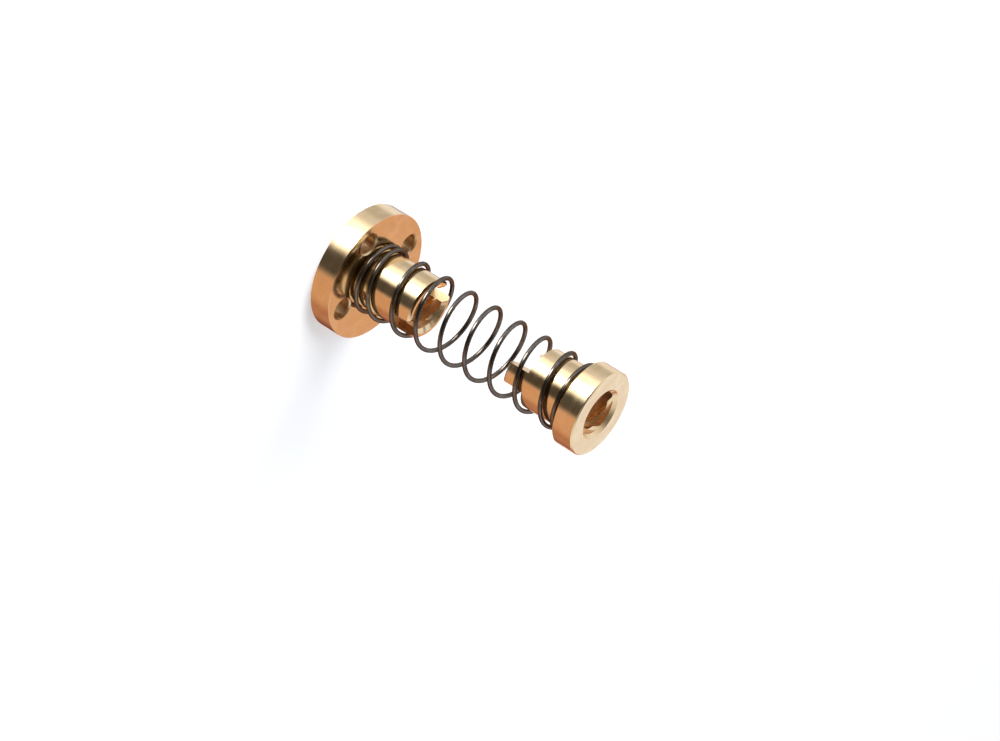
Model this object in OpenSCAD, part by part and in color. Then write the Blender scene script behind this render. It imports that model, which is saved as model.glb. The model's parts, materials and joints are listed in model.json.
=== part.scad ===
// Spring-loaded anti-backlash nut for a lead screw: a flanged nut with a slotted end,
// a preload nut with two prongs that slide in the slots, and the spring between them.
// +Z runs along the bore. The origin is the centre of the flange's outer face.

/* [Bore] */
// Diameter of the hole at the crests of the nuts' thread
thread_crest_d = 6.2; // [5:0.1:6.8]
// Diameter that the countersink at each mouth of the bore opens to, just past the thread's roots
bore_mouth_d = 8.5; // [7.2:0.1:8.8]
// Depth of the countersink at each mouth of the bore
bore_mouth_l = 0.6; // [0.1:0.05:1.2]

/* [Flanged nut] */
// Outside diameter of the flange
flange_d = 22; // [20.5:0.1:32]
// Thickness of the flange
flange_t = 3.8; // [2:0.1:7]
// Bevel round both edges of the flange
flange_bevel = 0.2; // [0.05:0.05:0.6]
// Diameter of the circle through the centres of the bolt holes
bolt_circle_d = 16; // [15.5:0.1:17]
// Diameter of each bolt hole
bolt_hole_d = 3.5; // [2:0.1:3.8]
// Bevel round each mouth of a bolt hole
bolt_hole_bevel = 0.25; // [0.05:0.05:0.35]
// Number of bolt holes
bolt_count = 4; // [2:1:8]
// Length from the flange's outer face to the slotted end
flanged_nut_l = 15.2; // [12:0.1:22]

/* [Bodies of both nuts] */
// Outside diameter of the bodies that the spring goes round
body_d = 10.2; // [9.6:0.1:11]
// Outer bevel at the slotted end and at the tips of the prongs
body_bevel = 0.35; // [0.05:0.05:0.4]

/* [Preload nut] */
// Outside diameter of the head
head_d = 14.2; // [13.6:0.1:20]
// Thickness of the head
head_t = 3.8; // [2:0.1:8]
// Bevel round both edges of the head
head_bevel = 0.2; // [0.05:0.05:0.5]
// Length of the round body between the head and the prongs
preload_body_l = 7.6; // [4:0.1:12]
// Width of each prong, measured across it
prong_w = 3.2; // [2:0.1:4.5]
// Length of each prong
prong_l = 3.7; // [2:0.1:6]
// Turn of the relaxed preload nut from where its prongs line up with the slots
prongs_turned = -40; // [-180:1:180]

/* [Fit of the prongs in the slots] */
// Gap on each side of a prong in its slot
slot_side_gap = 0.15; // [0.05:0.05:0.4]
// Gap past a prong's tip when the two bodies meet
slot_end_gap = 0.2; // [0.1:0.1:1]

/* [Spring] */
// Diameter of the spring wire
wire_d = 0.75; // [0.5:0.05:1]
// Gap between the bodies and the inside of the coils
coil_gap = 0.25; // [0.15:0.05:0.5]
// Height of the relaxed spring, from the flange to the head
spring_l = 41.7; // [36:0.1:60]
// Turns at the full pitch
open_turns = 7.25; // [4:0.25:9]
// Turns lying against each other at each end
closed_turns = 1; // [0.5:0.25:1.5]
// Turns at each end over which the pitch opens up
easing_turns = 0.55; // [0.25:0.05:1]
// Gap between two closed turns
closed_gap = 0.05; // [0.02:0.01:0.2]
// Gap between the end turns and their seats
seat_gap = 0.02; // [0.01:0.01:0.1]
// Direction in which the wire starts on the flange, from the first bolt hole
wire_start = 98; // [0:1:359]

/* [Hidden] */

$fn = 96;
BRASS = [0.82, 0.68, 0.38];
STEEL = [0.30, 0.27, 0.25];
OVERRUN = 1;             // how far a cutting shape runs past what it cuts
RINGS_PER_TURN = 24;     // wire sections in one turn of the spring
WIRE_SIDES = 8;          // sides of each wire section

// Where things lie along the bore
head_z = flange_t + spring_l;                   // rear face of the head
shoulder_z = head_z - preload_body_l;           // where the prongs stand on the body
prong_tip_z = shoulder_z - prong_l;
slot_w = prong_w + 2 * slot_side_gap;
slot_l = prong_l + slot_end_gap;

// The spring's wire, as a climbing coil
coil_r = body_d / 2 + coil_gap + wire_d / 2;    // from the bore's axis to the wire's centre
closed_pitch = wire_d + closed_gap;
wire_rise = spring_l - wire_d - 2 * seat_gap;   // from the first wire centre to the last
// Each easing climbs at the mean of the two pitches that it joins
open_pitch = (wire_rise - closed_pitch * (2 * closed_turns + easing_turns)) / (open_turns + easing_turns);
all_turns = open_turns + 2 * (closed_turns + easing_turns);

// Height that the wire has climbed after a number of turns from one end, up to mid-length
function climb(turns) =
    let (eased = min(max(turns - closed_turns, 0), easing_turns),
         open = max(turns - closed_turns - easing_turns, 0))
    closed_pitch * min(turns, closed_turns)
    + closed_pitch * eased + (open_pitch - closed_pitch) * eased * eased / (2 * easing_turns)
    + open_pitch * open;

// The second half of the spring climbs as the first does, seen from the other end
function wire_z(turns) = flange_t + seat_gap + wire_d / 2
    + (turns <= all_turns / 2 ? climb(turns) : wire_rise - climb(all_turns - turns));

// One section of the wire: a ring of points round its centre, in the plane through the bore's axis
function wire_ring(turns) =
    let (at = wire_start + 360 * turns)
    [for (side = [0 : WIRE_SIDES - 1])
        let (round = 360 * (side + 0.5) / WIRE_SIDES,
             r = coil_r + wire_d / 2 * cos(round))
        [r * cos(at), r * sin(at), wire_z(turns) + wire_d / 2 * sin(round)]];

// A cylinder along Z with a bevel at each end
module bevelled_cylinder(d, z_low, z_high, bevel_low, bevel_high) {
    r = d / 2;
    rotate_extrude()
        polygon([[0, z_low], [r - bevel_low, z_low], [r, z_low + bevel_low],
                 [r, z_high - bevel_high], [r - bevel_high, z_high], [0, z_high]]);
}

// What a drill and a countersink take out between two faces: a hole that widens to mouth_d at both ends
module countersunk_hole(d, mouth_d, mouth_l, z_low, z_high) {
    r = d / 2;
    mouth_r = mouth_d / 2;
    rotate_extrude()
        polygon([[0, z_low - OVERRUN], [mouth_r, z_low - OVERRUN], [mouth_r, z_low], [r, z_low + mouth_l],
                 [r, z_high - mouth_l], [mouth_r, z_high], [mouth_r, z_high + OVERRUN], [0, z_high + OVERRUN]]);
}

// The hole for the lead screw
module screw_bore(z_low, z_high) {
    countersunk_hole(thread_crest_d, bore_mouth_d, bore_mouth_l, z_low, z_high);
}

module flanged_nut() {
    color(BRASS)
    difference() {
        union() {
            bevelled_cylinder(flange_d, 0, flange_t, flange_bevel, flange_bevel);
            bevelled_cylinder(body_d, flange_bevel, flanged_nut_l, 0, body_bevel);
        }
        screw_bore(0, flanged_nut_l);
        for (hole = [0 : bolt_count - 1])
            rotate([0, 0, 360 * hole / bolt_count])
                translate([bolt_circle_d / 2, 0, 0])
                    countersunk_hole(bolt_hole_d, bolt_hole_d + 2 * bolt_hole_bevel, bolt_hole_bevel, 0, flange_t);
        // One cut right across the end makes both slots, in line with the first bolt hole
        translate([-body_d / 2 - OVERRUN, -slot_w / 2, flanged_nut_l - slot_l])
            cube([body_d + 2 * OVERRUN, slot_w, slot_l + OVERRUN]);
    }
}

module preload_nut() {
    color(BRASS)
    rotate([0, 0, prongs_turned])
    difference() {
        union() {
            bevelled_cylinder(head_d, head_z, head_z + head_t, head_bevel, head_bevel);
            bevelled_cylinder(body_d, shoulder_z, head_z + head_bevel, 0, 0);
            // The prongs are what is left of the body's end when both sides are milled away
            intersection() {
                bevelled_cylinder(body_d, prong_tip_z, shoulder_z + OVERRUN, body_bevel, 0);
                translate([-body_d / 2, -prong_w / 2, prong_tip_z])
                    cube([body_d, prong_w, prong_l + OVERRUN]);
            }
        }
        screw_bore(prong_tip_z, head_z + head_t);
    }
}

module spring() {
    last = ceil(all_turns * RINGS_PER_TURN);
    points = [for (ring = [0 : last]) each wire_ring(all_turns * ring / last)];
    sides = [for (ring = [0 : last - 1], side = [0 : WIRE_SIDES - 1])
        let (next = (side + 1) % WIRE_SIDES, from = ring * WIRE_SIDES, to = from + WIRE_SIDES)
        each [[from + side, to + side, to + next], [from + side, to + next, from + next]]];
    first_end = [for (side = [0 : WIRE_SIDES - 1]) side];
    last_end = [for (side = [WIRE_SIDES - 1 : -1 : 0]) last * WIRE_SIDES + side];
    color(STEEL)
    polyhedron(points, concat(sides, [first_end, last_end]), convexity = 12);
}

flanged_nut();
spring();
preload_nut();
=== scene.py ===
import json
import math

import bpy
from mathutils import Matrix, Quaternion, Vector


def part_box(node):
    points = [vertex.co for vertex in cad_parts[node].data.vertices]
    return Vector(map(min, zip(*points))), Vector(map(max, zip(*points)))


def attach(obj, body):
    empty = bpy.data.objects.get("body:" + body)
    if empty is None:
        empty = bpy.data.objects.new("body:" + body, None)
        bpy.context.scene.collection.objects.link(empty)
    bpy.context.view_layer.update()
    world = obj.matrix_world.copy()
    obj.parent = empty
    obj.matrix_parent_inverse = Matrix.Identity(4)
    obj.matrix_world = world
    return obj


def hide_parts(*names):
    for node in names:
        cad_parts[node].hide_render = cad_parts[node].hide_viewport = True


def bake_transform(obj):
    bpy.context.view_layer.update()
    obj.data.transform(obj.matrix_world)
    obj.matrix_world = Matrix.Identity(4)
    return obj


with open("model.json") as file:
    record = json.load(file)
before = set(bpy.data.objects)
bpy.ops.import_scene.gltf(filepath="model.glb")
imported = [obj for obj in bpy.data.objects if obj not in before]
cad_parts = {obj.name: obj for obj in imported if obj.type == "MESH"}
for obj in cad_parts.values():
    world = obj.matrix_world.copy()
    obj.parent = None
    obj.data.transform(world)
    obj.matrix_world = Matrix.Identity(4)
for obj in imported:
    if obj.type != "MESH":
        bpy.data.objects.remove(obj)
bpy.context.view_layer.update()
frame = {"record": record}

MM = 0.001


# ---- Flanged nut ----
# The part that is bolted to the carriage: flange and body turned from one brass bar, drilled
# for four screws, tapped with a four-start thread for the lead screw, and slotted across its
# end with one pass of a milling cutter.

def in_mm(metres):
    """A measure of the frame, in millimetres to the nearest thousandth."""
    return round(metres / MM, 3)


mounts = {mount["name"]: mount["dims"] for mount in frame["record"]["mounts"]}
joints = {joint["name"]: joint for joint in frame["record"]["behaviour"]["joints"]}
flanged_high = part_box("flanged_nut")[1]
flange_radius, flanged_length = in_mm(flanged_high.x), in_mm(flanged_high.z)
flange_thickness = in_mm(joints["spring_press"]["deforming_nodes"][0]["fixed_end_z_m"])
flange_bevel = 0.03
screw_holes, screw_hole_bevel = mounts["flange_bolts"], 0.25
body_radius, body_bevel = 5.1, 0.35
slot_width, slot_depth = 3.5, 3.9
crest_radius, root_radius = mounts["flanged_nut_thread"]["r_mm"], 4.2
groove_width, groove_root_width, groove_fillet = 1.34, 0.84, 0.08
thread_starts, thread_lead, flanged_thread_turned = 4, 8, 45
mouth_radius, mouth_depth = 4.25, 1.1


def link(tree, source, target):
    tree.links.new(source, target)


def shader_group(name, inputs, outputs):
    """An empty shader node group, with its input and output nodes."""
    group = bpy.data.node_groups.new(name, "ShaderNodeTree")
    for label, kind, value in inputs:
        socket = group.interface.new_socket(label, in_out="INPUT", socket_type=kind)
        if value is not None:
            socket.default_value = value
    for label, kind in outputs:
        group.interface.new_socket(label, in_out="OUTPUT", socket_type=kind)
    return group, group.nodes.new("NodeGroupInput"), group.nodes.new("NodeGroupOutput")


def add_math(tree, operation, first, second=0.0, third=0.0):
    """A Math node whose inputs are sockets or plain numbers; returns its result socket."""
    node = tree.nodes.new("ShaderNodeMath")
    node.operation = operation
    for place, value in enumerate((first, second, third)):
        if isinstance(value, (int, float)):
            node.inputs[place].default_value = value
        else:
            link(tree, value, node.inputs[place])
    return node.outputs[0]


def make_lathe_lines():
    """Fine grooves that a lathe tool leaves: rings on a face, and lines round a cylinder."""
    group, given, out = shader_group(
        "lathe_lines",
        [("Position", "NodeSocketVector", None), ("Lines per mm", "NodeSocketFloat", 14.0)],
        [("Lines", "NodeSocketFloat"), ("Bands", "NodeSocketFloat")],
    )
    apart = group.nodes.new("ShaderNodeSeparateXYZ")
    link(group, given.outputs["Position"], apart.inputs[0])
    squares = add_math(
        group, "ADD",
        add_math(group, "POWER", apart.outputs["X"], 2.0),
        add_math(group, "POWER", apart.outputs["Y"], 2.0),
    )
    radius = add_math(group, "SQRT", squares)
    across = add_math(group, "ADD", radius, apart.outputs["Z"])
    steps = add_math(group, "MULTIPLY", across, 1 / MM)
    lines = group.nodes.new("ShaderNodeTexNoise")
    lines.noise_dimensions = "1D"
    lines.inputs["Detail"].default_value = 3.0
    lines.inputs["Roughness"].default_value = 0.65
    link(group, steps, lines.inputs["W"])
    link(group, given.outputs["Lines per mm"], lines.inputs["Scale"])
    bands = group.nodes.new("ShaderNodeTexNoise")
    bands.noise_dimensions = "1D"
    bands.inputs["Scale"].default_value = 0.9
    bands.inputs["Detail"].default_value = 2.0
    link(group, steps, bands.inputs["W"])
    link(group, lines.outputs[0], out.inputs["Lines"])
    link(group, bands.outputs[0], out.inputs["Bands"])
    return group


def make_handling_marks():
    """Faint smudges and rubbed spots left by fingers, oil and the parts bin."""
    group, given, out = shader_group(
        "handling_marks",
        [("Position", "NodeSocketVector", None), ("Spots per mm", "NodeSocketFloat", 0.35)],
        [("Smudges", "NodeSocketFloat"), ("Specks", "NodeSocketFloat")],
    )
    finer_specks = 7.0
    scale = add_math(group, "MULTIPLY", given.outputs["Spots per mm"], 1 / MM)
    smudges = group.nodes.new("ShaderNodeTexNoise")
    smudges.inputs["Detail"].default_value = 4.0
    smudges.inputs["Distortion"].default_value = 0.6
    link(group, given.outputs["Position"], smudges.inputs["Vector"])
    link(group, scale, smudges.inputs["Scale"])
    specks = group.nodes.new("ShaderNodeTexNoise")
    specks.inputs["Detail"].default_value = 2.0
    link(group, given.outputs["Position"], specks.inputs["Vector"])
    link(group, add_math(group, "MULTIPLY", scale, finer_specks), specks.inputs["Scale"])
    sharpened = group.nodes.new("ShaderNodeMapRange")
    sharpened.inputs["From Min"].default_value = 0.62
    sharpened.inputs["From Max"].default_value = 0.78
    link(group, specks.outputs[0], sharpened.inputs["Value"])
    link(group, smudges.outputs[0], out.inputs["Smudges"])
    link(group, sharpened.outputs[0], out.inputs["Specks"])
    return group


lathe_lines = make_lathe_lines()
handling_marks = make_handling_marks()


def place_group(tree, group, **values):
    node = tree.nodes.new("ShaderNodeGroup")
    node.node_tree = group
    for name, value in values.items():
        node.inputs[name.replace("_", " ")].default_value = value
    return node


def mix_colour(tree, share, first, second):
    """Mixes two colours by a mask; each colour is a socket or a plain linear RGB."""
    node = tree.nodes.new("ShaderNodeMix")
    node.data_type = "RGBA"
    link(tree, share, node.inputs[0])
    for place, value in ((6, first), (7, second)):
        if isinstance(value, tuple):
            node.inputs[place].default_value = (*value, 1.0)
        else:
            link(tree, value, node.inputs[place])
    return node.outputs[2]


def remap(tree, value, from_low, from_high, to_low, to_high):
    node = tree.nodes.new("ShaderNodeMapRange")
    link(tree, value, node.inputs["Value"])
    for name, number in zip(
        ("From Min", "From Max", "To Min", "To Max"), (from_low, from_high, to_low, to_high)
    ):
        node.inputs[name].default_value = number
    return node.outputs[0]


def new_material(name):
    """A material, its node tree, and the shader that makes its surface."""
    material = bpy.data.materials.new(name)
    material.use_nodes = True
    return material, material.node_tree, material.node_tree.nodes["Principled BSDF"]


def brass(name, pale, deep, rough, lines_per_mm, line_depth, spread):
    """Cut brass. Pale and deep are the metal's lightest and darkest colour, and spread is how
    far a highlight is drawn out across the tool's lines."""
    line_share, speck_share = 0.35, 0.25
    material, tree, surface = new_material(name)
    place = tree.nodes.new("ShaderNodeTexCoord").outputs["Object"]
    lines = place_group(tree, lathe_lines, Lines_per_mm=lines_per_mm)
    marks = place_group(tree, handling_marks)
    link(tree, place, lines.inputs["Position"])
    link(tree, place, marks.inputs["Position"])
    worn = remap(tree, marks.outputs["Smudges"], 0.38, 0.66, 0.0, 1.0)
    cut = remap(tree, lines.outputs["Lines"], 0.3, 0.7, 0.0, 1.0)
    tone = add_math(
        tree, "MULTIPLY_ADD", cut, line_share,
        add_math(tree, "MULTIPLY", worn, 1.0 - line_share),
    )
    colour = mix_colour(tree, tone, deep, pale)
    speckled = mix_colour(
        tree, add_math(tree, "MULTIPLY", marks.outputs["Specks"], speck_share), colour,
        tuple(0.5 * part for part in deep),
    )
    link(tree, speckled, surface.inputs["Base Color"])
    surface.inputs["Metallic"].default_value = 1.0
    roughness = add_math(
        tree, "ADD",
        remap(tree, marks.outputs["Smudges"], 0.3, 0.7, rough * 0.8, rough * 1.25),
        remap(tree, lines.outputs["Bands"], 0.3, 0.7, -0.02, 0.02),
    )
    link(tree, roughness, surface.inputs["Roughness"])
    surface.inputs["Anisotropic"].default_value = spread
    around = tree.nodes.new("ShaderNodeTangent")
    around.direction_type = "RADIAL"
    around.axis = "Z"
    link(tree, around.outputs[0], surface.inputs["Tangent"])
    relief = tree.nodes.new("ShaderNodeBump")
    relief.inputs["Strength"].default_value = 1.0
    relief.inputs["Distance"].default_value = line_depth
    link(tree, lines.outputs["Lines"], relief.inputs["Height"])
    link(tree, relief.outputs[0], surface.inputs["Normal"])
    return material


turned_brass = brass(
    "turned_brass", (0.90, 0.71, 0.44), (0.80, 0.58, 0.32),
    rough=0.14, lines_per_mm=11.0, line_depth=0.0012 * MM, spread=0.35,
)
tapped_brass = brass(
    "tapped_brass", (0.94, 0.68, 0.43), (0.82, 0.54, 0.31),
    rough=0.38, lines_per_mm=5.0, line_depth=0.0008 * MM, spread=0.0,
)
# Darker than the turned brass: painted shade in the screw holes, on a drilled finish
drilled_brass = brass(
    "drilled_brass", (0.84, 0.63, 0.38), (0.62, 0.41, 0.21),
    rough=0.34, lines_per_mm=3.0, line_depth=0.002 * MM, spread=0.0,
)
milled_brass = brass(
    "milled_brass", (0.87, 0.67, 0.40), (0.74, 0.50, 0.27),
    rough=0.23, lines_per_mm=3.0, line_depth=0.0015 * MM, spread=0.0,
)


def add_object(name, data):
    made = bpy.data.objects.new(name, data)
    bpy.context.scene.collection.objects.link(made)
    return made


def turned_blank(name, profile, sides=256):
    """A ring turned to a closed outline of (radius, height) points in mm, listed so that the
    metal lies on the left of each step."""
    points, faces = [], []
    for side in range(sides):
        angle = math.tau * side / sides
        for radius, height in profile:
            points.append((
                radius * MM * math.cos(angle), radius * MM * math.sin(angle), height * MM,
            ))
    count = len(profile)
    for side in range(sides):
        here, there = side * count, (side + 1) % sides * count
        for corner in range(count):
            after = (corner + 1) % count
            faces.append((here + corner, there + corner, there + after, here + after))
    mesh = bpy.data.meshes.new(name)
    mesh.from_pydata(points, [], faces)
    mesh.materials.append(turned_brass)
    return add_object(name, mesh)


def geometry_tree(name, inputs):
    """An empty Geometry Nodes tree with a geometry going in and out, and the named sizes."""
    tree = bpy.data.node_groups.new(name, "GeometryNodeTree")
    tree.interface.new_socket("Geometry", in_out="INPUT", socket_type="NodeSocketGeometry")
    for label, kind, value in inputs:
        socket = tree.interface.new_socket(label, in_out="INPUT", socket_type=kind)
        if value is not None:
            socket.default_value = value
    tree.interface.new_socket("Geometry", in_out="OUTPUT", socket_type="NodeSocketGeometry")
    return tree, tree.nodes.new("NodeGroupInput"), tree.nodes.new("NodeGroupOutput")


def add_node(tree, kind, _sockets=None, **settings):
    """A node with its settings, and with its inputs set to sockets or plain values."""
    node = tree.nodes.new(kind)
    for name, value in settings.items():
        setattr(node, name, value)
    for name, value in (_sockets or {}).items():
        if isinstance(value, bpy.types.NodeSocket):
            link(tree, value, node.inputs[name])
        else:
            node.inputs[name].default_value = value
    return node


def cut_away(tree, given, cutters, out):
    """Takes the cutters out of the piece that comes in, and gives the faces that they leave
    the material that comes in."""
    def marked(geometry, fresh):
        mark = add_node(
            tree, "GeometryNodeStoreNamedAttribute",
            {"Geometry": geometry, "Name": "fresh_cut", "Value": fresh},
            data_type="BOOLEAN", domain="FACE",
        )
        return mark.outputs[0]

    tools = add_node(tree, "GeometryNodeRealizeInstances", {"Geometry": cutters})
    cut = add_node(
        tree, "GeometryNodeMeshBoolean",
        {
            "Mesh 1": marked(given.outputs["Geometry"], False),
            "Mesh 2": marked(tools.outputs[0], True),
        },
        operation="DIFFERENCE", solver="MANIFOLD",
    )
    fresh = add_node(
        tree, "GeometryNodeInputNamedAttribute", {"Name": "fresh_cut"}, data_type="BOOLEAN",
    )
    solid = add_node(tree, "GeometryNodeRealizeInstances", {"Geometry": cut.outputs["Mesh"]})
    named = add_node(tree, "GeometryNodeSetMaterial", {
        "Geometry": solid.outputs[0],
        "Selection": fresh.outputs["Attribute"],
        "Material": given.outputs["Material"],
    })
    link(tree, named.outputs[0], out.inputs["Geometry"])


def repeat_round_axis(tree, geometry, count):
    """Instances of a geometry, evenly spaced round the Z axis."""
    points = add_node(tree, "GeometryNodePoints", {"Count": count, "Radius": 0.0})
    index = add_node(tree, "GeometryNodeInputIndex").outputs[0]
    angle = add_math(tree, "DIVIDE", add_math(tree, "MULTIPLY", index, math.tau), count)
    turn = add_node(tree, "ShaderNodeCombineXYZ", {"Z": angle})
    copies = add_node(tree, "GeometryNodeInstanceOnPoints", {
        "Points": points.outputs[0], "Instance": geometry, "Rotation": turn.outputs[0],
    })
    return copies.outputs[0]


def make_tapping():
    """Cuts a many-start thread: one groove swept along a helix, repeated round the axis."""
    tree, given, out = geometry_tree("tapping", [
        ("Material", "NodeSocketMaterial", None),
        ("Starts", "NodeSocketInt", thread_starts),
        ("Lead", "NodeSocketFloat", thread_lead * MM),
        ("Crest Radius", "NodeSocketFloat", crest_radius * MM),
        ("Root Radius", "NodeSocketFloat", root_radius * MM),
        ("Groove Width", "NodeSocketFloat", groove_width * MM),
        ("Root Width", "NodeSocketFloat", groove_root_width * MM),
        ("Fillet", "NodeSocketFloat", groove_fillet * MM),
        ("Low End", "NodeSocketFloat", 0.0),
        ("High End", "NodeSocketFloat", 0.0),
        ("Phase", "NodeSocketFloat", 0.0),
    ])
    # The groove starts and ends in the air, a quarter turn beyond the nut's faces
    overrun = add_math(tree, "MULTIPLY", given.outputs["Lead"], 0.25)
    height = add_math(
        tree, "MULTIPLY_ADD", overrun, 2.0,
        add_math(tree, "SUBTRACT", given.outputs["High End"], given.outputs["Low End"]),
    )
    helix = add_node(tree, "GeometryNodeCurveSpiral", {
        "Resolution": 96,
        "Rotations": add_math(tree, "DIVIDE", height, given.outputs["Lead"]),
        "Start Radius": given.outputs["Crest Radius"],
        "End Radius": given.outputs["Crest Radius"],
        "Height": height,
        "Reverse": True,
    })
    upright = add_node(
        tree, "GeometryNodeSetCurveNormal", {"Curve": helix.outputs[0]}, mode="Z_UP",
    )
    depth = add_math(tree, "SUBTRACT", given.outputs["Root Radius"], given.outputs["Crest Radius"])
    # The section's X points at the axis, and it starts inside the hole
    inside = add_math(tree, "MULTIPLY", depth, 0.5)
    root = add_math(tree, "MULTIPLY", depth, -1.0)
    flare = add_math(tree, "SUBTRACT", given.outputs["Groove Width"], given.outputs["Root Width"])
    widest = add_math(tree, "MULTIPLY_ADD", flare, 0.5, given.outputs["Groove Width"])

    def corner(radial, width, side):
        point = add_node(tree, "ShaderNodeCombineXYZ", {
            "X": radial, "Y": add_math(tree, "MULTIPLY", width, 0.5 * side),
        })
        return point.outputs[0]

    section = add_node(tree, "GeometryNodeCurvePrimitiveQuadrilateral", {
        "Point 1": corner(inside, widest, 1),
        "Point 2": corner(root, given.outputs["Root Width"], 1),
        "Point 3": corner(root, given.outputs["Root Width"], -1),
        "Point 4": corner(inside, widest, -1),
    }, mode="POINTS")
    rounded = add_node(tree, "GeometryNodeFilletCurve", {
        "Curve": section.outputs[0],
        "Radius": given.outputs["Fillet"],
        "Count": 2,
        "Limit Radius": True,
    }, mode="POLY")
    groove = add_node(tree, "GeometryNodeCurveToMesh", {
        "Curve": upright.outputs[0], "Profile Curve": rounded.outputs[0], "Fill Caps": True,
    })
    lowered = add_node(tree, "ShaderNodeCombineXYZ", {
        "Z": add_math(tree, "SUBTRACT", given.outputs["Low End"], overrun),
    })
    turned = add_node(tree, "ShaderNodeCombineXYZ", {"Z": given.outputs["Phase"]})
    placed = add_node(tree, "GeometryNodeTransform", {
        "Geometry": groove.outputs[0],
        "Translation": lowered.outputs[0],
        "Rotation": turned.outputs[0],
    })
    copies = repeat_round_axis(tree, placed.outputs[0], given.outputs["Starts"])
    cut_away(tree, given, copies, out)
    return tree


def make_drilling():
    """Drills and countersinks a circle of holes through a flange that starts at the origin."""
    tree, given, out = geometry_tree("drilling", [
        ("Material", "NodeSocketMaterial", None),
        ("Holes", "NodeSocketInt", screw_holes["count"]),
        ("Circle Radius", "NodeSocketFloat", screw_holes["pcd_mm"] / 2 * MM),
        ("Hole Radius", "NodeSocketFloat", screw_holes["hole_r_mm"] * MM),
        ("Bevel", "NodeSocketFloat", screw_hole_bevel * MM),
        ("Thickness", "NodeSocketFloat", flange_thickness * MM),
    ])
    hole_radius, bevel = given.outputs["Hole Radius"], given.outputs["Bevel"]
    thickness = given.outputs["Thickness"]

    def drilled(radius_low, radius_high, low, high):
        """A cutter from one height to another, moved out to the circle and repeated."""
        tool = add_node(tree, "GeometryNodeMeshCone", {
            "Vertices": 64,
            "Radius Top": radius_high,
            "Radius Bottom": radius_low,
            "Depth": add_math(tree, "SUBTRACT", high, low),
        })
        out_to = add_node(tree, "ShaderNodeCombineXYZ", {
            "X": given.outputs["Circle Radius"], "Z": low,
        })
        moved = add_node(tree, "GeometryNodeTransform", {
            "Geometry": tool.outputs[0], "Translation": out_to.outputs[0],
        })
        copies = repeat_round_axis(tree, moved.outputs[0], given.outputs["Holes"])
        return add_node(tree, "GeometryNodeRealizeInstances", {"Geometry": copies}).outputs[0]

    overshoot = 1 * MM
    above, below = add_math(tree, "ADD", thickness, overshoot), -overshoot
    # A countersink's cutter widens by the bevel at the face, and goes on widening beyond it
    past = add_math(tree, "ADD", add_math(tree, "ADD", hole_radius, bevel), overshoot)
    cutters = (
        drilled(hole_radius, hole_radius, below, above),
        drilled(past, hole_radius, below, bevel),
        drilled(hole_radius, past, add_math(tree, "SUBTRACT", thickness, bevel), above),
    )
    tool = cutters[0]
    for cutter in cutters[1:]:
        both = add_node(
            tree, "GeometryNodeMeshBoolean", {"Mesh 2": tool}, operation="UNION",
            solver="MANIFOLD",
        )
        link(tree, cutter, both.inputs["Mesh 2"])
        tool = both.outputs["Mesh"]
    cut_away(tree, given, tool, out)
    return tree


def make_milling():
    """Mills one block away, or several evenly spaced round the axis."""
    tree, given, out = geometry_tree("milling", [
        ("Material", "NodeSocketMaterial", None),
        ("Cuts", "NodeSocketInt", 1),
        ("Cut Size", "NodeSocketVector", None),
        ("Cut Centre", "NodeSocketVector", None),
        ("Turn", "NodeSocketVector", None),
    ])
    block = add_node(tree, "GeometryNodeMeshCube", {"Size": given.outputs["Cut Size"]})
    moved = add_node(tree, "GeometryNodeTransform", {
        "Geometry": block.outputs[0], "Translation": given.outputs["Cut Centre"],
    })
    turned = add_node(tree, "GeometryNodeTransform", {
        "Geometry": moved.outputs[0], "Rotation": given.outputs["Turn"],
    })
    cut_away(tree, given, repeat_round_axis(tree, turned.outputs[0], given.outputs["Cuts"]), out)
    return tree


tapping, drilling, milling = make_tapping(), make_drilling(), make_milling()


def machine(piece, tree, **sizes):
    """Puts one machining step on a piece, with its named sizes."""
    step = piece.modifiers.new(tree.name, "NODES")
    step.node_group = tree
    for item in tree.interface.items_tree:
        name = item.name.lower().replace(" ", "_")
        if item.item_type == "SOCKET" and item.in_out == "INPUT" and name in sizes:
            step[item.identifier] = sizes[name]


def finished(piece, name, smooth_below):
    """The piece as one plain mesh, its modifiers worked in, shaded smooth across small angles."""
    evaluated = piece.evaluated_get(bpy.context.evaluated_depsgraph_get())
    mesh = bpy.data.meshes.new_from_object(evaluated)
    mesh.name = name
    mesh.shade_smooth()
    mesh.set_sharp_from_angle(angle=math.radians(smooth_below))
    bpy.data.objects.remove(piece)
    return add_object(name, mesh)


flanged = turned_blank("flanged_blank", [
    (crest_radius, mouth_depth),
    (mouth_radius, 0.0),
    (flange_radius - flange_bevel, 0.0),
    (flange_radius, flange_bevel),
    (flange_radius, flange_thickness - flange_bevel),
    (flange_radius - flange_bevel, flange_thickness),
    (body_radius, flange_thickness),
    (body_radius, flanged_length - body_bevel),
    (body_radius - body_bevel, flanged_length),
    (mouth_radius, flanged_length),
    (crest_radius, flanged_length - mouth_depth),
])
machine(
    flanged, tapping, material=tapped_brass, low_end=0.0, high_end=flanged_length * MM,
    phase=math.radians(flanged_thread_turned),
)
machine(flanged, drilling, material=drilled_brass)
# The milling cutter runs clear of the body on both sides
cutter_travel = 2.4 * body_radius
machine(
    flanged, milling, material=milled_brass, cuts=1,
    cut_size=(cutter_travel * MM, slot_width * MM, 2 * slot_depth * MM),
    cut_centre=(0.0, 0.0, flanged_length * MM),
)
flanged_piece = finished(flanged, "flanged_nut_machined", smooth_below=22)
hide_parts("flanged_nut")
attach(flanged_piece, "flanged_nut")


# ---- Spring ----
# A compression spring wound from dark oiled spring steel wire, with a closed turn at each end.
# It seats on the flange and on the preload nut's head, and pushes the two nuts apart.

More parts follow.
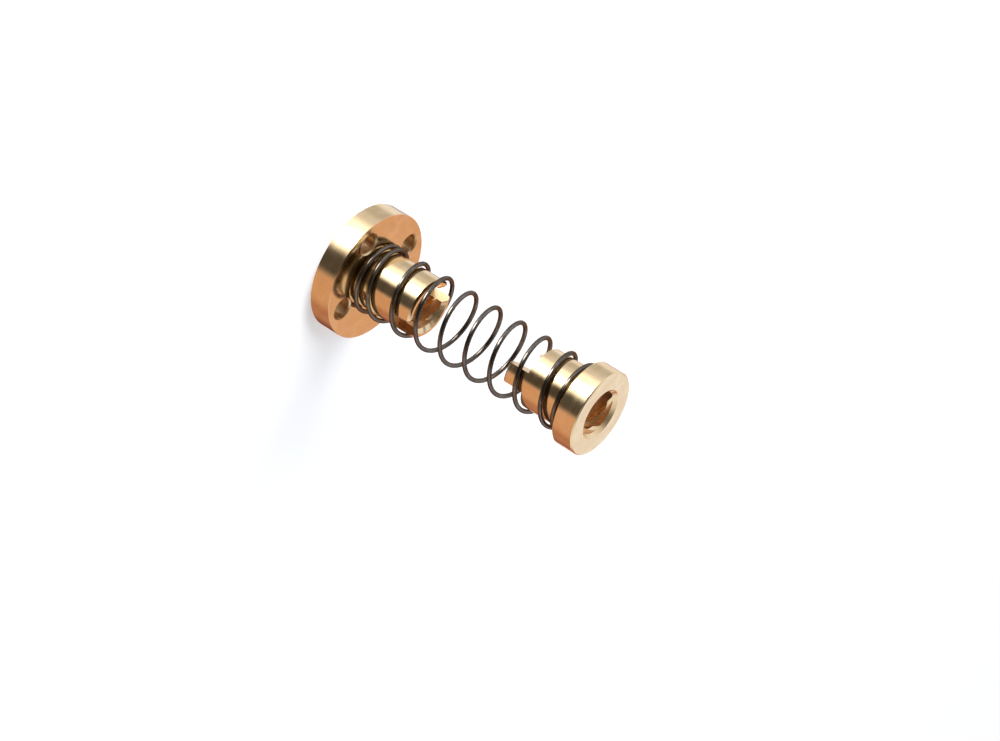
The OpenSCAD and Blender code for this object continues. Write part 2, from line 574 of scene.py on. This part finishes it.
spring_low, spring_high = flange_thickness, in_mm(joints["preload_turn"]["pos_m"][2])
wire_diameter, coil_radius = 0.75, 5.725
open_turns, closed_turns, easing_turns = 7.25, 1.0, 0.55
closed_gap, seat_gap, wire_start = 0.05, 0.02, 98


def make_coiling():
    """A wire coiled with closed end turns, eased into evenly open turns between them."""
    tree, given, out = geometry_tree("coiling", [
        ("Material", "NodeSocketMaterial", None),
        ("Low End", "NodeSocketFloat", spring_low * MM),
        ("Height", "NodeSocketFloat", (spring_high - spring_low) * MM),
        ("Wire Diameter", "NodeSocketFloat", wire_diameter * MM),
        ("Coil Radius", "NodeSocketFloat", coil_radius * MM),
        ("Open Turns", "NodeSocketFloat", open_turns),
        ("Closed Turns", "NodeSocketFloat", closed_turns),
        ("Easing Turns", "NodeSocketFloat", easing_turns),
        ("Closed Gap", "NodeSocketFloat", closed_gap * MM),
        ("Seat Gap", "NodeSocketFloat", seat_gap * MM),
        ("Start Angle", "NodeSocketFloat", math.radians(wire_start)),
        ("Points a Turn", "NodeSocketInt", 64),
    ])
    size = given.outputs
    wire = size["Wire Diameter"]
    closed_pitch = add_math(tree, "ADD", wire, size["Closed Gap"])
    rise = add_math(tree, "SUBTRACT", size["Height"], wire)
    rise = add_math(tree, "MULTIPLY_ADD", size["Seat Gap"], -2.0, rise)
    # An easing turn climbs halfway between a closed and an open one, so it counts half as each
    as_open = add_math(tree, "ADD", size["Open Turns"], size["Easing Turns"])
    as_closed = add_math(tree, "MULTIPLY_ADD", size["Closed Turns"], 2.0, size["Easing Turns"])
    closed_rise = add_math(tree, "MULTIPLY", closed_pitch, as_closed)
    open_pitch = add_math(
        tree, "DIVIDE", add_math(tree, "SUBTRACT", rise, closed_rise), as_open,
    )
    all_turns = add_math(tree, "ADD", as_open, as_closed)

    factor = add_node(tree, "GeometryNodeSplineParameter").outputs["Factor"]
    turns = add_math(tree, "MULTIPLY", factor, all_turns)
    from_end = add_math(tree, "MINIMUM", turns, add_math(tree, "SUBTRACT", all_turns, turns))
    past_closed = add_math(
        tree, "MAXIMUM", add_math(tree, "SUBTRACT", from_end, size["Closed Turns"]), 0.0,
    )
    eased = add_math(tree, "MINIMUM", past_closed, size["Easing Turns"])
    opened = add_math(tree, "SUBTRACT", past_closed, eased)
    extra_pitch = add_math(tree, "SUBTRACT", open_pitch, closed_pitch)
    eased_turns = add_math(
        tree, "DIVIDE", add_math(tree, "MULTIPLY", eased, eased),
        add_math(tree, "MULTIPLY", size["Easing Turns"], 2.0),
    )
    # Climb beyond what the same turns would take lying closed: what the spring can be pressed by
    spare = add_math(tree, "MULTIPLY", extra_pitch, add_math(tree, "ADD", eased_turns, opened))
    all_spare = add_math(tree, "MULTIPLY", extra_pitch, as_open)
    upper_half = add_math(tree, "GREATER_THAN", factor, 0.5)
    mirrored = add_math(tree, "SUBTRACT", all_spare, spare)
    spare_here = add_math(
        tree, "ADD",
        add_math(tree, "MULTIPLY", upper_half, mirrored),
        add_math(tree, "MULTIPLY", add_math(tree, "SUBTRACT", 1.0, upper_half), spare),
    )
    height = add_math(tree, "MULTIPLY_ADD", closed_pitch, turns, spare_here)
    seat = add_math(tree, "ADD", size["Low End"], size["Seat Gap"])
    height = add_math(tree, "ADD", height, add_math(tree, "MULTIPLY_ADD", wire, 0.5, seat))
    angle = add_math(tree, "MULTIPLY_ADD", turns, math.tau, size["Start Angle"])
    centre = add_node(tree, "ShaderNodeCombineXYZ", {
        "X": add_math(tree, "MULTIPLY", size["Coil Radius"], add_math(tree, "COSINE", angle)),
        "Y": add_math(tree, "MULTIPLY", size["Coil Radius"], add_math(tree, "SINE", angle)),
        "Z": height,
    })
    straight = add_node(tree, "GeometryNodeCurvePrimitiveLine")
    counted = add_node(tree, "GeometryNodeResampleCurve", {
        "Curve": straight.outputs[0],
        "Count": add_math(tree, "MULTIPLY", all_turns, size["Points a Turn"]),
    }, mode="COUNT")
    marked = counted.outputs[0]
    for name, value in (
        ("press_share", add_math(tree, "DIVIDE", spare_here, all_spare)),
        ("wire_turns", turns),
    ):
        store = add_node(
            tree, "GeometryNodeStoreNamedAttribute",
            {"Geometry": marked, "Name": name, "Value": value},
            data_type="FLOAT", domain="POINT",
        )
        marked = store.outputs[0]
    coiled = add_node(
        tree, "GeometryNodeSetPosition", {"Geometry": marked, "Position": centre.outputs[0]},
    )
    upright = add_node(
        tree, "GeometryNodeSetCurveNormal", {"Curve": coiled.outputs[0]}, mode="Z_UP",
    )
    section = add_node(tree, "GeometryNodeCurvePrimitiveCircle", {
        "Resolution": 20, "Radius": add_math(tree, "MULTIPLY", wire, 0.5),
    }, mode="RADIUS")
    round_wire = add_node(
        tree, "GeometryNodeStoreNamedAttribute",
        {
            "Geometry": section.outputs[0],
            "Name": "wire_side",
            "Value": add_node(tree, "GeometryNodeSplineParameter").outputs["Factor"],
        },
        data_type="FLOAT", domain="POINT",
    )
    drawn = add_node(tree, "GeometryNodeCurveToMesh", {
        "Curve": upright.outputs[0], "Profile Curve": round_wire.outputs[0], "Fill Caps": True,
    })
    solid = add_node(tree, "GeometryNodeRealizeInstances", {"Geometry": drawn.outputs[0]})
    named = add_node(tree, "GeometryNodeSetMaterial", {
        "Geometry": solid.outputs[0], "Material": size["Material"],
    })
    link(tree, named.outputs[0], out.inputs["Geometry"])
    return tree


def spring_wire():
    """Dark oiled steel wire, with fine draw marks along it and a few brighter rubbed patches."""
    material, tree, surface = new_material("oiled_spring_wire")
    along = tree.nodes.new("ShaderNodeAttribute")
    along.attribute_name = "wire_turns"
    side = tree.nodes.new("ShaderNodeAttribute")
    side.attribute_name = "wire_side"
    place = tree.nodes.new("ShaderNodeCombineXYZ")
    link(tree, add_math(tree, "MULTIPLY", along.outputs["Fac"], 3.0), place.inputs["X"])
    angle = add_math(tree, "MULTIPLY", side.outputs["Fac"], math.tau)
    link(tree, add_math(tree, "COSINE", angle), place.inputs["Y"])
    link(tree, add_math(tree, "SINE", angle), place.inputs["Z"])
    draw_marks = tree.nodes.new("ShaderNodeTexNoise")
    draw_marks.inputs["Scale"].default_value = 3.2
    draw_marks.inputs["Detail"].default_value = 5.0
    link(tree, place.outputs[0], draw_marks.inputs["Vector"])
    marks = place_group(tree, handling_marks, Spots_per_mm=0.8)
    link(tree, tree.nodes.new("ShaderNodeTexCoord").outputs["Object"], marks.inputs["Position"])
    streaks = remap(tree, draw_marks.outputs[0], 0.35, 0.65, 0.0, 1.0)
    colour = mix_colour(tree, streaks, (0.10, 0.085, 0.07), (0.19, 0.165, 0.14))
    rubbed = remap(tree, marks.outputs["Smudges"], 0.5, 0.75, 0.0, 0.6)
    link(
        tree, mix_colour(tree, rubbed, colour, (0.28, 0.25, 0.215)), surface.inputs["Base Color"],
    )
    surface.inputs["Metallic"].default_value = 1.0
    surface.inputs["Specular Tint"].default_value = (0.55, 0.50, 0.46, 1.0)
    link(
        tree, remap(tree, draw_marks.outputs[0], 0.3, 0.7, 0.20, 0.12),
        surface.inputs["Roughness"],
    )
    relief = tree.nodes.new("ShaderNodeBump")
    relief.inputs["Strength"].default_value = 0.6
    relief.inputs["Distance"].default_value = 0.002 * MM
    link(tree, draw_marks.outputs[0], relief.inputs["Height"])
    link(tree, relief.outputs[0], surface.inputs["Normal"])
    return material


wire_blank = add_object("wire_blank", bpy.data.meshes.new("wire_blank"))
machine(wire_blank, make_coiling(), material=spring_wire())
spring_piece = finished(wire_blank, "preload_spring", smooth_below=50)
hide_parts("spring")
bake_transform(spring_piece)
# Each bit of wire's share of the open turns below it along its centre line, read back from the
# wire
share = [0.0] * len(spring_piece.data.vertices)
spring_piece.data.attributes["press_share"].data.foreach_get("value", share)


# ---- Preload nut ----
# The second nut on the same screw, turned and tapped like the first: a round head that takes
# the spring, and a body whose end is milled on both sides to leave two prongs for the slot.

preload_low, preload_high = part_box("preload_nut")
prong_tip, top = in_mm(preload_low.z), in_mm(preload_high.z)
head_radius, head_bevel = 7.1, 0.2
shoulder_height, prong_width, prongs_turned = 37.9, 3.2, -40
preload_thread_turned = 17

preload = turned_blank("preload_blank", [
    (crest_radius, prong_tip + mouth_depth),
    (mouth_radius, prong_tip),
    (body_radius - body_bevel, prong_tip),
    (body_radius, prong_tip + body_bevel),
    (body_radius, spring_high),
    (head_radius - head_bevel, spring_high),
    (head_radius, spring_high + head_bevel),
    (head_radius, top - head_bevel),
    (head_radius - head_bevel, top),
    (mouth_radius, top),
    (crest_radius, top - mouth_depth),
])
machine(
    preload, tapping, material=tapped_brass, low_end=prong_tip * MM, high_end=top * MM,
    phase=math.radians(preload_thread_turned),
)
side_cut, prong_length = body_radius, shoulder_height - prong_tip
machine(
    preload, milling, material=milled_brass, cuts=2,
    cut_size=(cutter_travel * MM, side_cut * MM, 2 * prong_length * MM),
    cut_centre=(0.0, (prong_width + side_cut) / 2 * MM, prong_tip * MM),
    turn=(0.0, 0.0, math.radians(prongs_turned)),
)
preload_piece = finished(preload, "preload_nut_machined", smooth_below=22)
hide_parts("preload_nut")
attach(preload_piece, "preload_nut")


# ---- Studio ----
# A plain white table that the part stands on, a soft pale dome of light with one large window,
# a glowing warm card that paints a warm reflection, and discs of painted shade and painted light
# under the holes, all seen only in the metal, one lamp, and the camera, which looks down at the
# part from the side.

def make_table():
    """A table that ends in white far from the part, and is clear from underneath."""
    reach, near, far, glow = 3.0, 0.25, 0.9, 0.24
    mesh = bpy.data.meshes.new("table")
    mesh.from_pydata(
        [(-reach, -reach, 0.0), (reach, -reach, 0.0), (reach, reach, 0.0), (-reach, reach, 0.0)],
        [], [(0, 1, 2, 3)],
    )
    table = add_object("table", mesh)
    table.location.z = -0.01 * MM
    table.visible_glossy = False
    table.visible_shadow = False
    material, tree, surface = new_material("white_table")
    surface.inputs["Base Color"].default_value = (0.83, 0.86, 0.885, 1.0)
    surface.inputs["Roughness"].default_value = 0.9
    surface.inputs["Specular IOR Level"].default_value = 0.0
    seen = tree.nodes.new("ShaderNodeLightPath").outputs["Is Camera Ray"]
    surface.inputs["Emission Color"].default_value = (1.0, 1.0, 1.0, 1.0)
    link(tree, add_math(tree, "MULTIPLY", seen, glow), surface.inputs["Emission Strength"])
    away = add_node(
        tree, "ShaderNodeVectorMath",
        {0: tree.nodes.new("ShaderNodeTexCoord").outputs["Object"]}, operation="LENGTH",
    ).outputs["Value"]
    backdrop = add_node(tree, "ShaderNodeEmission", {"Color": (1.0, 1.0, 1.0, 1.0)})
    faded = tree.nodes.new("ShaderNodeMixShader")
    link(tree, remap(tree, away, near, far, 0.0, 1.0), faded.inputs[0])
    link(tree, surface.outputs[0], faded.inputs[1])
    link(tree, backdrop.outputs[0], faded.inputs[2])
    below = tree.nodes.new("ShaderNodeNewGeometry").outputs["Backfacing"]
    clear = tree.nodes.new("ShaderNodeBsdfTransparent")
    either = tree.nodes.new("ShaderNodeMixShader")
    link(tree, below, either.inputs[0])
    link(tree, faded.outputs[0], either.inputs[1])
    link(tree, clear.outputs[0], either.inputs[2])
    link(tree, either.outputs[0], tree.nodes["Material Output"].inputs["Surface"])
    mesh.materials.append(material)
    return table


make_table()


def smooth_step(tree, value, low, high):
    node = add_node(tree, "ShaderNodeMapRange", {
        "Value": value, "From Min": low, "From Max": high,
    }, interpolation_type="SMOOTHSTEP")
    return node.outputs[0]


def make_dome():
    """The light all round: a pale dome, with soft panels that stand at compass directions."""
    world = bpy.data.worlds.new("studio_dome")
    bpy.context.scene.world = world
    world.use_nodes = True
    tree = world.node_tree
    tree.nodes.clear()
    direction = tree.nodes.new("ShaderNodeTexCoord").outputs["Generated"]
    apart = tree.nodes.new("ShaderNodeSeparateXYZ")
    link(tree, direction, apart.inputs[0])
    flat = add_node(
        tree, "ShaderNodeCombineXYZ", {"X": apart.outputs["X"], "Y": apart.outputs["Y"]},
    )
    level = add_node(
        tree, "ShaderNodeVectorMath", {0: flat.outputs[0]}, operation="NORMALIZE",
    ).outputs[0]
    height = apart.outputs["Z"]

    def laid_over(under, colour, *masks):
        """Lays a soft-edged patch of another colour over the dome, where all its masks are 1."""
        mask = masks[0]
        for other in masks[1:]:
            mask = add_math(tree, "MULTIPLY", mask, other)
        return mix_colour(tree, mask, under, colour)

    def around(compass, half_width, soft, of=level, rise=0.0):
        """1 near a compass direction, fading to 0 over a soft edge."""
        angle, tilt = math.radians(compass), math.radians(rise)
        centre = (
            math.cos(angle) * math.cos(tilt), math.sin(angle) * math.cos(tilt), math.sin(tilt),
        )
        toward = add_node(
            tree, "ShaderNodeVectorMath", {0: of, 1: centre}, operation="DOT_PRODUCT",
        ).outputs["Value"]
        inner = math.cos(math.radians(max(half_width - soft, 0)))
        outer = math.cos(math.radians(half_width + soft))
        return smooth_step(tree, toward, outer, inner)

    def below(limit, soft=0.12):
        """1 below a height, where the horizon is 0 and straight up is 1, fading over an edge."""
        return smooth_step(tree, height, limit + soft, limit - soft)

    sky = mix_colour(
        tree, smooth_step(tree, height, -0.1, 0.5), (0.80, 0.80, 0.85), (0.99, 1.02, 1.14),
    )
    # A grey wall and a pale one, low down on the side away from the warm screens
    sky = laid_over(sky, (0.62, 0.62, 0.64), around(-172, 15, 10), below(0.0))
    sky = laid_over(sky, (0.98, 0.98, 1.0), around(160, 10, 9), below(0.0))
    # The ceiling straight above, with a lamp in it
    sky = laid_over(sky, (0.72, 0.70, 0.68), around(0, 38, 20, of=direction, rise=90))
    sky = laid_over(sky, (1.05, 1.05, 1.1), around(117, 9, 6, of=direction, rise=82))
    # Warm screens: two at the side, and a dark red one low down behind
    sky = laid_over(sky, (0.52, 0.25, 0.16), around(58, 42, 16), below(0.3))
    sky = laid_over(sky, (0.74, 0.44, 0.29), around(4, 30, 14), below(0.3))
    sky = laid_over(sky, (0.25, 0.08, 0.06), around(108, 24, 14), below(-0.15))
    # Shade straight underneath, and the dark camera side
    sky = laid_over(sky, (0.30, 0.28, 0.26), around(0, 34, 14, of=direction, rise=-90))
    sky = laid_over(sky, (0.13, 0.12, 0.11), around(-62.8, 44, 16, of=direction, rise=32))
    # The window with its bright middle, which ends above the shade, and a dark flag beside it
    window = laid_over(sky, (2.0, 2.0, 2.0), around(-100, 22, 19), below(-0.18, 0.15))
    window = laid_over(window, (10.5, 10.5, 10.5), around(-93, 10, 4), below(0.1))
    sky = mix_colour(tree, below(-0.78, 0.1), window, sky)
    sky = laid_over(sky, (0.08, 0.07, 0.06), around(-46, 21, 8), below(0.55))
    background = tree.nodes.new("ShaderNodeBackground")
    link(tree, sky, background.inputs["Color"])
    white = add_node(tree, "ShaderNodeBackground", {"Color": (1.0, 1.0, 1.0, 1.0)})
    seen = tree.nodes.new("ShaderNodeLightPath").outputs["Is Camera Ray"]
    either = tree.nodes.new("ShaderNodeMixShader")
    link(tree, seen, either.inputs[0])
    link(tree, background.outputs[0], either.inputs[1])
    link(tree, white.outputs[0], either.inputs[2])
    link(tree, either.outputs[0], tree.nodes.new("ShaderNodeOutputWorld").inputs["Surface"])


make_dome()


def only_reflected(name, mesh):
    """An object that shows in the metal alone: no camera sees it, and it lights nothing dull."""
    made = add_object(name, mesh)
    made.visible_camera = False
    made.visible_diffuse = False
    made.visible_shadow = False
    made.visible_transmission = False
    return made


def make_glowing_card():
    """A warm card behind the part that glows though it is no lamp, which only its end faces and
    hollows reflect: a painted warm reflection.
    """
    mesh = bpy.data.meshes.new("warm_reflector")
    away, half_width, card_top = 0.06, 0.035, 0.055
    angle = math.radians(117)
    forth = Vector((math.cos(angle), math.sin(angle), 0.0))
    aside = Vector((-forth.y, forth.x, 0.0))
    corners = [forth * away + aside * half_width * side for side in (-1, 1)]
    points = corners + [corner + Vector((0.0, 0.0, card_top)) for corner in reversed(corners)]
    mesh.from_pydata([tuple(point) for point in points], [], [(0, 1, 2, 3)])
    material, tree, _ = new_material("warm_card")
    tree.nodes.clear()
    # The card's glow: a painted warm reflection in the metal
    glow = add_node(tree, "ShaderNodeEmission", {"Color": (0.80, 0.50, 0.36, 1.0)})
    output = tree.nodes.new("ShaderNodeOutputMaterial")
    link(tree, glow.outputs[0], output.inputs["Surface"])
    mesh.materials.append(material)
    return only_reflected("warm_reflector", mesh)


make_glowing_card()


def make_painted_disc(name, centres, radius, glow):
    """Discs on the table under the holes, seen only in the metal above them: a dark disc paints
    shade in the holes, and a glowing one paints light into them.
    """
    mesh = bpy.data.meshes.new(name)
    points, faces, corners = [], [], 24
    for across, along in centres:
        first = len(points)
        for corner in range(corners):
            angle = math.tau * corner / corners
            points.append((
                (across + radius * math.cos(angle)) * MM,
                (along + radius * math.sin(angle)) * MM,
                -0.005 * MM,
            ))
        faces.append(range(first, len(points)))
    mesh.from_pydata(points, [], faces)
    material, _, surface = new_material(name)
    surface.inputs["Base Color"].default_value = (0.10, 0.07, 0.05, 1.0)
    surface.inputs["Roughness"].default_value = 0.9
    surface.inputs["Emission Color"].default_value = (*glow, 1.0)
    surface.inputs["Emission Strength"].default_value = 1.0
    mesh.materials.append(material)
    return only_reflected(name, mesh)


hole_circle = screw_holes["pcd_mm"] / 2
turns = [math.tau * hole / screw_holes["count"] for hole in range(screw_holes["count"])]
under_screws = [(hole_circle * math.cos(turn), hole_circle * math.sin(turn)) for turn in turns]
# A glowing disc under the bore: painted light inside the bore
make_painted_disc("shade_under_bore", [(0.0, 0.0)], mouth_radius, (1.2, 0.98, 0.74))
# Dark discs under the screw holes: painted shade in the holes
make_painted_disc("shade_under_screw_holes", under_screws, 1.9, (0.12, 0.07, 0.04))


def aimed(place, target):
    """The turn that points a lamp or a camera from its place at a target."""
    return (Vector(target) - Vector(place)).to_track_quat("-Z", "Y")


key_light = add_object("key_light", bpy.data.lights.new("key_light", "AREA"))
key_light.data.shape = "DISK"
key_light.data.size = 0.7
key_light.data.energy = 10.0
key_light.visible_glossy = False
key_light.location = (-0.55, -0.65, 1.0)
key_light.rotation_mode = "QUATERNION"
key_light.rotation_quaternion = aimed(key_light.location, (0.0, 0.0, 0.025))

camera = add_object("camera", bpy.data.cameras.new("camera"))
bpy.context.scene.camera = camera
camera.data.sensor_width = 36.0
camera.data.lens = 82.8
camera.location = (0.14696, -0.28160, 0.18540)
roll = Quaternion((0.0, 0.0, 1.0), math.radians(121.72))
camera.rotation_mode = "QUATERNION"
camera.rotation_quaternion = aimed(camera.location, (0.00206, 0.00106, 0.03113)) @ roll
camera.data.clip_start = 0.01

bpy.context.scene.view_settings.view_transform = "Standard"
